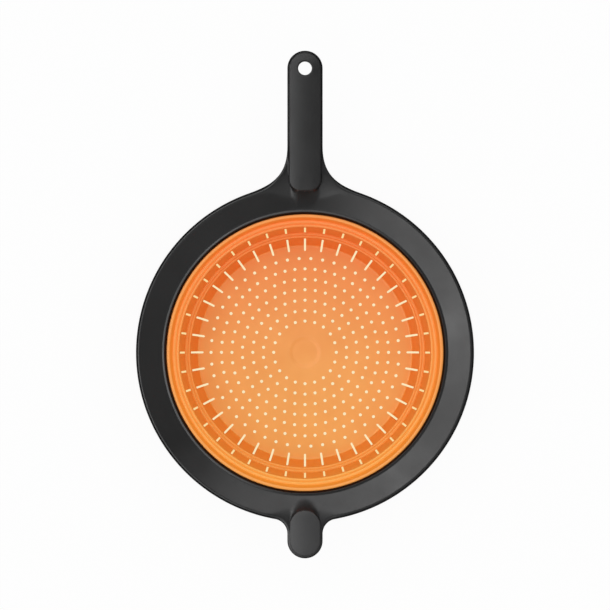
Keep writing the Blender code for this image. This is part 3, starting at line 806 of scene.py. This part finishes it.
def hex_spots(low, high, pitch):
    """A hexagonal lattice of points in a box in plan."""
    spots = []
    row = 0
    y = low[1]
    while y < high[1]:
        x = low[0] + (pitch / 2 if row % 2 else 0)
        while x < high[0]:
            spots.append((x, y))
            x += pitch
        y += pitch * math.sqrt(3) / 2
        row += 1
    return spots


def seat_height(bar, x, y):
    """A soft part's seat: level, with steep sides all round, tucked under the soft part at its ends."""
    land = SEAT_LAND - SEAT_TUCK * max(1 - (x / bar.plan.half) ** 2, 0)
    past = max(bar_distance(bar.plan, x, y) - land, 0)
    return smooth_min(bar.seat - SEAT_SIDE_RATE * past, bar.seat, SEAT_SHOULDER)


def fairing_height(bar, x, y):
    """The hollow fairing before a soft end, which sags away to the sides."""
    top, first_rate, last_rate, length, sag = bar.fairing
    past = max(bar_distance(bar.plan, x, y) - SEAT_LAND, 0)
    run = min(past, length)
    fall = first_rate * run - (first_rate - last_rate) * run**2 / (2 * length) + last_rate * (past - run)
    return top - fall - sag * (x / bar.plan.half) ** 4


def frame_height(x, y, drop=0):
    """The frame's top surface: the dish, the level rim and arms, and the seats, less an edge's drop."""
    radius = math.hypot(x, y)
    rate = (RIM_TOP - DISH_BOTTOM) / (DISH_RADIUS - DISH_INNER_RADIUS)
    dish = DISH_BOTTOM + rate * (radius - DISH_INNER_RADIUS)
    past = min(bar_distance(GRIP.plan, x, y), bar_distance(PAD.plan, x, y))
    nearness = 1 - min(max(past, 0) / ARM_BLEND_REACH, 1)
    nearness *= min(max((ARM_BLEND_LIMIT - radius) / ARM_BLEND_FADE, 0), 1)
    height = smooth_min(dish, RIM_TOP - drop, RIM_BLEND + ARM_BLEND * eased(nearness))
    below_rim = min(max(RIM_TOP - dish, 0), FAIRING_FILLET_DEPTH)
    above_lip = max(dish - DISH_BOTTOM, 0)
    growth = min(FAIRING_FILLET_RATE_BELOW_RIM * below_rim, FAIRING_FILLET_RATE_ABOVE_LIP * above_lip)
    bar = GRIP if y > 0 else PAD
    height = smooth_max(height, fairing_height(bar, x, y) - drop, FAIRING_FILLET + growth)
    return smooth_max(height, seat_height(bar, x, y) - drop, SEAT_FILLET)


def edge_round(x, y):
    """The radius of the frame's top edge: wide on the ring, tight on the handle and the tab."""
    return RIM_ROUND + (ARM_ROUND - RIM_ROUND) * eased((math.hypot(x, y) - RIM_RADIUS) / ROUND_FADE)


def seat_spots():
    """Rows of points along the raised seats' shoulders, sides and feet."""
    spots = []
    for bar in (GRIP, PAD):
        for reach in SEAT_REACHES:
            spots += bar_outline(grown(bar.plan, reach), SEAT_CORNER_STEPS, SEAT_SIDE_STEPS)
    return spots


def frame_spots(outline):
    """Points inside the frame's top: in rows along the seats, close together near them, wider elsewhere."""
    near_edge = tree_of(outline)
    layers = (
        (SEAT_PITCH, SEAT_CLEARANCE, seat_spots()),
        (FINE_PITCH, FINE_CLEARANCE, [spot for box in FINE_BOXES for spot in hex_spots(*box, FINE_PITCH)]),
        (WIDE_PITCH, WIDE_CLEARANCE, hex_spots(*WIDE_BOX, WIDE_PITCH)),
    )
    spots = []
    for pitch, clearance, lattice in layers:
        taken = tree_of(spots) if spots else None
        circle_margin = CIRCLE_MARGIN_SHARE * pitch
        edge_margin = EDGE_MARGIN_SHARE * pitch
        for x, y in lattice:
            if math.hypot(x, y) < LIP_SECTION[0][0] + circle_margin:
                continue
            if math.dist((x, y), HANG_HOLE) < HANG_HOLE_RADIUS + circle_margin:
                continue
            if near_edge.find((x, y, 0))[2] < edge_margin or not inside(outline, x, y):
                continue
            if taken and taken.find((x, y, 0))[2] < clearance:
                continue
            spots.append((x, y))
    return spots


def build_frame():
    """The one-piece frame: its top, its rounded edge, the lip and collar in section, and its underside."""
    mesh = bmesh.new()
    outline = frame_outline()
    loops = []
    for i in range(BOTTOM_ROUND_STEPS + 1):
        turn = math.pi / 2 * i / BOTTOM_ROUND_STEPS
        height = EDGE_BOTTOM + BOTTOM_ROUND * (1 - math.cos(turn))
        points = inset(outline, BOTTOM_ROUND * (1 - math.sin(turn)))
        loops.append([mesh.verts.new((x, y, height)) for x, y in points])
    radii = [edge_round(x, y) for x, y in outline]
    shares = [1 - math.cos(math.pi / 2 * i / TOP_ROUND_STEPS) for i in range(TOP_ROUND_STEPS + 1)]
    for share in shares + [PAST_ROUND_SHARE]:
        distances = [radius * share for radius in radii]
        loop = []
        for (x, y), distance, radius in zip(inset(outline, distances), distances, radii):
            loop.append(mesh.verts.new((x, y, frame_height(x, y, round_drop(distance, radius)))))
        loops.append(loop)
    bridge(mesh, loops)
    section = [ring_of(mesh, CENTRE, radius, height, RING_SIDES) for radius, height in LIP_SECTION]
    bridge(mesh, section)
    hole_top = ring_of(mesh, HANG_HOLE, HANG_HOLE_RADIUS, GRIP.seat, HANG_HOLE_SIDES)
    hole_under = ring_of(mesh, HANG_HOLE, HANG_HOLE_RADIUS, EDGE_BOTTOM, HANG_HOLE_SIDES)
    bridge(mesh, [hole_top, hole_under])
    top_row = [(vert.co.x, vert.co.y) for vert in loops[-1]]
    spots = [mesh.verts.new((x, y, frame_height(x, y))) for x, y in frame_spots(top_row)]
    lip_circle = (CENTRE, LIP_SECTION[0][0], RING_SIDES)
    collar_circle = (CENTRE, LIP_SECTION[-1][0], RING_SIDES)
    hole_circle = (HANG_HOLE, HANG_HOLE_RADIUS, HANG_HOLE_SIDES)
    fill(mesh, [loops[-1], section[0], hole_top], spots, off_circles(lip_circle, hole_circle))
    fill(mesh, [loops[0], section[-1], hole_under], [], off_circles(collar_circle, hole_circle))
    return add_mesh("moulded_frame", mesh, sharp_angle=40)


def build_soft_bar(name, bar, hole=None):
    """A soft overmoulding on its seat, with a rounded edge, an arched top and a hole where one is given."""
    mesh = bmesh.new()
    outline = bar_outline(bar.plan)
    bottom = bar.seat + SEAM
    shoulder = bottom + bar.edge_height

    def height(x, y, distance):
        """The top side at a point that lies this far in from the bar's side."""
        share = min(distance / bar.plan.half, 1)
        z = shoulder + bar.crown * (1 - (1 - share) ** 2) - round_drop(distance, SOFT_EDGE_ROUND)
        if hole:
            z -= round_drop(max(math.dist((x, y), hole) - HANG_HOLE_RADIUS, 0), SOFT_HOLE_ROUND)
        return z

    loops = [[mesh.verts.new((x, y, bottom)) for x, y in outline]]
    for distance in SOFT_EDGE_REACHES:
        loops.append([mesh.verts.new((x, y, height(x, y, distance))) for x, y in inset(outline, distance)])
    bridge(mesh, loops)
    top_loops = [loops[-1]]
    top_circles = []
    if hole:
        rings = [ring_of(mesh, hole, HANG_HOLE_RADIUS, bottom, HANG_HOLE_SIDES)]
        for reach in SOFT_HOLE_REACHES:
            ring = ring_of(mesh, hole, HANG_HOLE_RADIUS + reach, 0, HANG_HOLE_SIDES)
            for vert in ring:
                vert.co.z = height(vert.co.x, vert.co.y, -bar_distance(bar.plan, vert.co.x, vert.co.y))
            rings.append(ring)
        bridge(mesh, rings)
        fill(mesh, [loops[0], rings[0]], [], off_circles((hole, HANG_HOLE_RADIUS, HANG_HOLE_SIDES)))
        top_loops.append(rings[-1])
        top_circles.append((hole, HANG_HOLE_RADIUS + SOFT_HOLE_REACHES[-1], HANG_HOLE_SIDES))
    else:
        mesh.faces.new(loops[0])
    inner_row = [(vert.co.x, vert.co.y) for vert in loops[-1]]
    near_edge = tree_of(inner_row)
    spots = []
    for x, y in hex_spots((-bar.plan.half, bar.plan.near), (bar.plan.half, bar.plan.far), SOFT_PITCH):
        if not inside(inner_row, x, y) or near_edge.find((x, y, 0))[2] < SOFT_EDGE_MARGIN:
            continue
        if hole and math.dist((x, y), hole) < HANG_HOLE_RADIUS + SOFT_HOLE_MARGIN:
            continue
        spots.append(mesh.verts.new((x, y, height(x, y, -bar_distance(bar.plan, x, y)))))
    fill(mesh, top_loops, spots, off_circles(*top_circles))
    return add_mesh(name, mesh, sharp_angle=40)


def build_retaining_ring():
    """The ring that clamps the bowl's flange, turned from its section."""
    mesh = bmesh.new()
    rings = [ring_of(mesh, CENTRE, radius, height, RETAINER_SIDES) for radius, height in RETAINER_SECTION]
    bridge(mesh, rings + rings[:1])
    return add_mesh("clamping_ring", mesh, sharp_angle=30)


def new_material(name):
    """A material with its node tree and its shader."""
    material = bpy.data.materials.new(name)
    material.use_nodes = True
    tree = material.node_tree
    return material, tree, tree.nodes["Principled BSDF"]


def noise(tree, coordinates, scale, detail, roughness=0.5):
    """A noise value."""
    node = tree.nodes.new("ShaderNodeTexNoise")
    node.inputs["Scale"].default_value = scale
    node.inputs["Detail"].default_value = detail
    node.inputs["Roughness"].default_value = roughness
    tree.links.new(coordinates, node.inputs["Vector"])
    return node.outputs["Fac"]


def ranged(tree, value, first, last, low, high):
    """A value spread between two limits as it goes from first to last."""
    node = tree.nodes.new("ShaderNodeMapRange")
    node.inputs["From Min"].default_value = first
    node.inputs["From Max"].default_value = last
    node.inputs["To Min"].default_value = low
    node.inputs["To Max"].default_value = high
    tree.links.new(value, node.inputs["Value"])
    return node.outputs["Result"]


def noise_ranged(tree, value, low, high):
    """A noise value, which gathers round a half, spread between two limits."""
    return ranged(tree, value, NOISE_LOW, NOISE_HIGH, low, high)


def mixed(tree, share, first, second, blend="MIX"):
    """Two colours mixed by a share from 0 to 1. Each is written out or another node's."""
    node = tree.nodes.new("ShaderNodeMix")
    node.data_type = "RGBA"
    node.blend_type = blend
    tree.links.new(share, node.inputs["Factor"])
    for socket, colour in (("A", first), ("B", second)):
        if isinstance(colour, tuple):
            node.inputs[socket].default_value = (*colour, 1)
        else:
            tree.links.new(colour, node.inputs[socket])
    return node.outputs["Result"]


def calculated(tree, operation, *values):
    """The result of a sum on one or two values."""
    node = tree.nodes.new("ShaderNodeMath")
    node.operation = operation
    for socket, value in zip(node.inputs, values):
        tree.links.new(value, socket)
    return node.outputs["Value"]


def part_of(tree, vector, axis):
    """One part of a vector."""
    node = tree.nodes.new("ShaderNodeSeparateXYZ")
    tree.links.new(vector, node.inputs["Vector"])
    return node.outputs[axis]


def plan_radius(tree, place):
    """How far a place lies from the bowl's axis."""
    flat = tree.nodes.new("ShaderNodeVectorMath")
    flat.operation = "MULTIPLY"
    flat.inputs[1].default_value = (1, 1, 0)
    tree.links.new(place, flat.inputs[0])
    length = tree.nodes.new("ShaderNodeVectorMath")
    length.operation = "LENGTH"
    tree.links.new(flat.outputs["Vector"], length.inputs[0])
    return length.outputs["Value"]


def bumped(tree, value, distance, strength):
    """A surface direction roughened by a value."""
    node = tree.nodes.new("ShaderNodeBump")
    node.inputs["Distance"].default_value = distance
    node.inputs["Strength"].default_value = strength
    tree.links.new(value, node.inputs["Height"])
    return node.outputs["Normal"]


def surface_material(name, colours, roughness, mottle_scale, grain_scale, grain_depth, grain_strength):
    """A moulded surface: two close colours mottled together, uneven gloss and a fine grain."""
    material, tree, shader = new_material(name)
    place = tree.nodes.new("ShaderNodeTexCoord").outputs["Object"]
    mottle = noise(tree, place, mottle_scale, MOTTLE_DETAIL)
    gloss = noise(tree, place, mottle_scale * GLOSS_SCALE_SHARE, GLOSS_DETAIL)
    grain = noise(tree, place, grain_scale, GRAIN_DETAIL, GRAIN_ROUGHNESS)
    tree.links.new(mixed(tree, noise_ranged(tree, mottle, 0, 1), *colours), shader.inputs["Base Color"])
    tree.links.new(noise_ranged(tree, gloss, *roughness), shader.inputs["Roughness"])
    tree.links.new(bumped(tree, grain, grain_depth, grain_strength), shader.inputs["Normal"])
    return material, shader


def silicone_material():
    """Orange silicone: purer in colour on the ledges than on the floor, as painted light against the shade
    deep in the bowl, and deepest on the steep walls, as painted bounce light between the orange walls.

    As painted light and shade, it turns from yellower and lighter on the tab's side to redder and darker on
    the handle's side, least of all on the bead.
    """
    material, shader = surface_material(
        "orange_silicone",
        colours=FLOOR_COLOURS,
        roughness=(0.4, 0.52),
        mottle_scale=38,
        grain_scale=1500,
        grain_depth=0.05 * MM,
        grain_strength=0.25,
    )
    tree = material.node_tree
    coordinates = tree.nodes.new("ShaderNodeTexCoord").outputs
    radius = plan_radius(tree, coordinates["Object"])
    floor_colour = shader.inputs["Base Color"].links[0].from_socket
    past_floor = ranged(tree, radius, *FLOOR_TO_LEDGE, 0, 1)
    # Painted light: past the floor the ledges take a brighter, purer orange against the shade deep in the
    # bowl.
    level_colour = mixed(tree, past_floor, floor_colour, LEDGE_PAINTED_LIGHT_COLOUR)
    levelness = calculated(tree, "ABSOLUTE", part_of(tree, coordinates["Normal"], "Z"))
    steepness = ranged(tree, levelness, *STEEP_TO_LEVEL, 1, 0)
    # Painted bounce light: steep walls take a deeper orange, standing in for light passed between the orange
    # walls and through the silicone.
    colour = mixed(tree, steepness, level_colour, WALL_PAINTED_BOUNCE_COLOUR)
    # Painted light and shade: lighter and yellower towards the tab, darker and redder towards the handle,
    # less on the bead.
    towards_handle = ranged(tree, part_of(tree, coordinates["Object"], "Y"), -TINT_REACH, TINT_REACH, 0, 1)
    tint = mixed(tree, towards_handle, TAB_PAINTED_LIGHT, HANDLE_PAINTED_SHADE)
    tint_share = ranged(tree, radius, *TINT_FADE, 1, BEAD_TINT_SHARE)
    tree.links.new(mixed(tree, tint_share, colour, tint, "MULTIPLY"), shader.inputs["Base Color"])
    shader.inputs["Specular IOR Level"].default_value = 0.35
    shader.inputs["Sheen Weight"].default_value = 0.02
    shader.inputs["Sheen Roughness"].default_value = 0.5
    shader.inputs["Sheen Tint"].default_value = (1.0, 0.85, 0.7, 1)
    return material


def plastic_material():
    """Satin black plastic."""
    material, _ = surface_material(
        "black_plastic",
        colours=PLASTIC_COLOURS,
        roughness=(0.3, 0.38),
        mottle_scale=24,
        grain_scale=2600,
        grain_depth=0.03 * MM,
        grain_strength=0.3,
    )
    return material


def rubber_material(name, painted_light):
    """Soft black rubber, greyer the more painted light it is given."""
    material, shader = surface_material(
        name,
        colours=[tuple(part * painted_light for part in colour) for colour in RUBBER_COLOURS],
        roughness=(0.42, 0.5),
        mottle_scale=30,
        grain_scale=2000,
        grain_depth=0.05 * MM,
        grain_strength=0.35,
    )
    shader.inputs["Specular IOR Level"].default_value = 0.43
    shader.inputs["Sheen Weight"].default_value = 0.05
    return material


def dress(obj, material, body, nodes):
    """A piece gets its material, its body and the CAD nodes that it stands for."""
    obj.data.materials.append(material)
    if body:
        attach(obj, body)
    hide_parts(*nodes)


def floor_material():
    """A pale floor that keeps the colander's shadow.

    Its own colour is white to the camera, but painted with warm light under the bowl, and with less of the
    white under the ring, where its real shadow shows a little.
    """
    material, tree, shader = new_material("pale_floor")
    shader.inputs["Base Color"].default_value = STUDIO_FLOOR_COLOUR
    shader.inputs["Roughness"].default_value = 0.9
    shader.inputs["Specular IOR Level"].default_value = 0.0
    radius = plan_radius(tree, tree.nodes.new("ShaderNodeTexCoord").outputs["Object"])
    # Painted light: a warm colour under the bowl, standing in for light warmed by the silicone that falls
    # through its holes and slots.
    warm = mixed(tree, ranged(tree, radius, *WARMTH_TURN, 0, 1), INNER_PAINTED_WARM_LIGHT, OUTER_PAINTED_WARM_LIGHT)
    past_bowl = ranged(tree, radius, *WARMTH_END, 0, 1)
    glow = tree.nodes.new("ShaderNodeEmission")
    tree.links.new(mixed(tree, past_bowl, warm, (1, 1, 1)), glow.inputs["Color"])
    under_ring = calculated(tree, "MULTIPLY", past_bowl, ranged(tree, radius, *RING_SHADE_END, 1, 0))
    glow_share = ranged(tree, under_ring, 0, 1, OPEN_GLOW, SHADED_GLOW)
    seen = tree.nodes.new("ShaderNodeLightPath").outputs["Is Camera Ray"]
    mix = tree.nodes.new("ShaderNodeMixShader")
    tree.links.new(calculated(tree, "MULTIPLY", seen, glow_share), mix.inputs["Fac"])
    tree.links.new(shader.outputs["BSDF"], mix.inputs[1])
    tree.links.new(glow.outputs["Emission"], mix.inputs[2])
    tree.links.new(mix.outputs["Shader"], tree.nodes["Material Output"].inputs["Surface"])
    return material


def add_floor():
    """The studio floor, just below the bowl, which the object's black parts don't mirror."""
    bpy.ops.mesh.primitive_plane_add(size=STUDIO_FLOOR_SIZE, location=(0, 0, -STUDIO_FLOOR_DROP))
    floor = bpy.context.object
    floor.name = "studio_floor"
    floor.data.materials.append(floor_material())
    floor.visible_glossy = False


def add_world():
    """An even white surround, which lights the object softly and isn't mirrored by its black parts."""
    world = bpy.data.worlds.new("studio")
    world.use_nodes = True
    background = world.node_tree.nodes["Background"]
    background.inputs["Color"].default_value = (1, 1, 1, 1)
    background.inputs["Strength"].default_value = WORLD_STRENGTH
    world.cycles_visibility.glossy = False
    bpy.context.scene.world = world


def add_panel(name, width, height, brightness):
    """A bright panel that the camera doesn't see. Its brightness is what a mirror would show."""
    light = bpy.data.lights.new(name, "AREA")
    light.shape = "RECTANGLE"
    light.size = width
    light.size_y = height
    light.energy = brightness * math.pi * width * height
    panel = add_object(name, light)
    panel.visible_camera = False
    return panel


def add_top_light():
    """A wide soft light high above, which isn't mirrored."""
    panel = add_panel("top_light", TOP_LIGHT_SIZE, TOP_LIGHT_SIZE, TOP_LIGHT_BRIGHTNESS)
    panel.location = (0, 0, TOP_LIGHT_HEIGHT)
    panel.visible_glossy = False


def add_reflector(name, azimuth, elevation, distance, width, height, brightness):
    """A panel that faces the bowl and shows only in its sheen."""
    panel = add_panel(name, width, height, brightness)
    turn = math.radians(azimuth)
    across = math.cos(math.radians(elevation)) * distance
    up = math.sin(math.radians(elevation)) * distance
    spot = Vector((across * math.cos(turn), across * math.sin(turn), up + REFLECTOR_AIM))
    panel.location = spot
    panel.rotation_euler = (spot - Vector((0, 0, REFLECTOR_AIM))).to_track_quat("Z", "Y").to_euler()
    panel.visible_diffuse = False


def add_camera():
    """Straight above the colander, from far off, so that upright walls hardly show."""
    camera = bpy.data.cameras.new("camera")
    camera.lens = CAMERA_LENS
    camera.sensor_width = CAMERA_SENSOR
    camera.clip_end = CAMERA_RANGE
    obj = add_object("camera", camera)
    distance = PHOTO_WIDTH * PIXEL_SIZE * CAMERA_LENS / CAMERA_SENSOR
    obj.location = (0, CAMERA_Y, VIEW_HEIGHT + distance)
    bpy.context.scene.camera = obj


silicone = silicone_material()
plastic = plastic_material()
grip_rubber = rubber_material("grip_rubber", 1)
# Painted light: the pad's rubber is lightened, as if more light fell on it than on the grip.
pad_rubber = rubber_material("pad_rubber", PAD_PAINTED_LIGHT)

bowl = build_bowl()
bowl_nodes = ("bowl_rim", "bowl_upper_wall", "bowl_lower_wall", "bowl_floor")
dress(bowl, silicone, None, bowl_nodes)
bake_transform(bowl)
dress(build_frame(), plastic, "frame", ("frame",))
grip_cover = build_soft_bar("grip_cover", GRIP, HANG_HOLE)
dress(grip_cover, grip_rubber, "frame", ("handle_grip",))
pad_cover = build_soft_bar("pad_cover", PAD)
dress(pad_cover, pad_rubber, "frame", ("thumb_pad",))
dress(build_retaining_ring(), plastic, "frame", ("retaining_ring",))

add_floor()
add_world()
add_top_light()
for reflector in REFLECTORS:
    add_reflector(*reflector)
add_camera()

bpy.context.scene.view_settings.view_transform = "Standard"
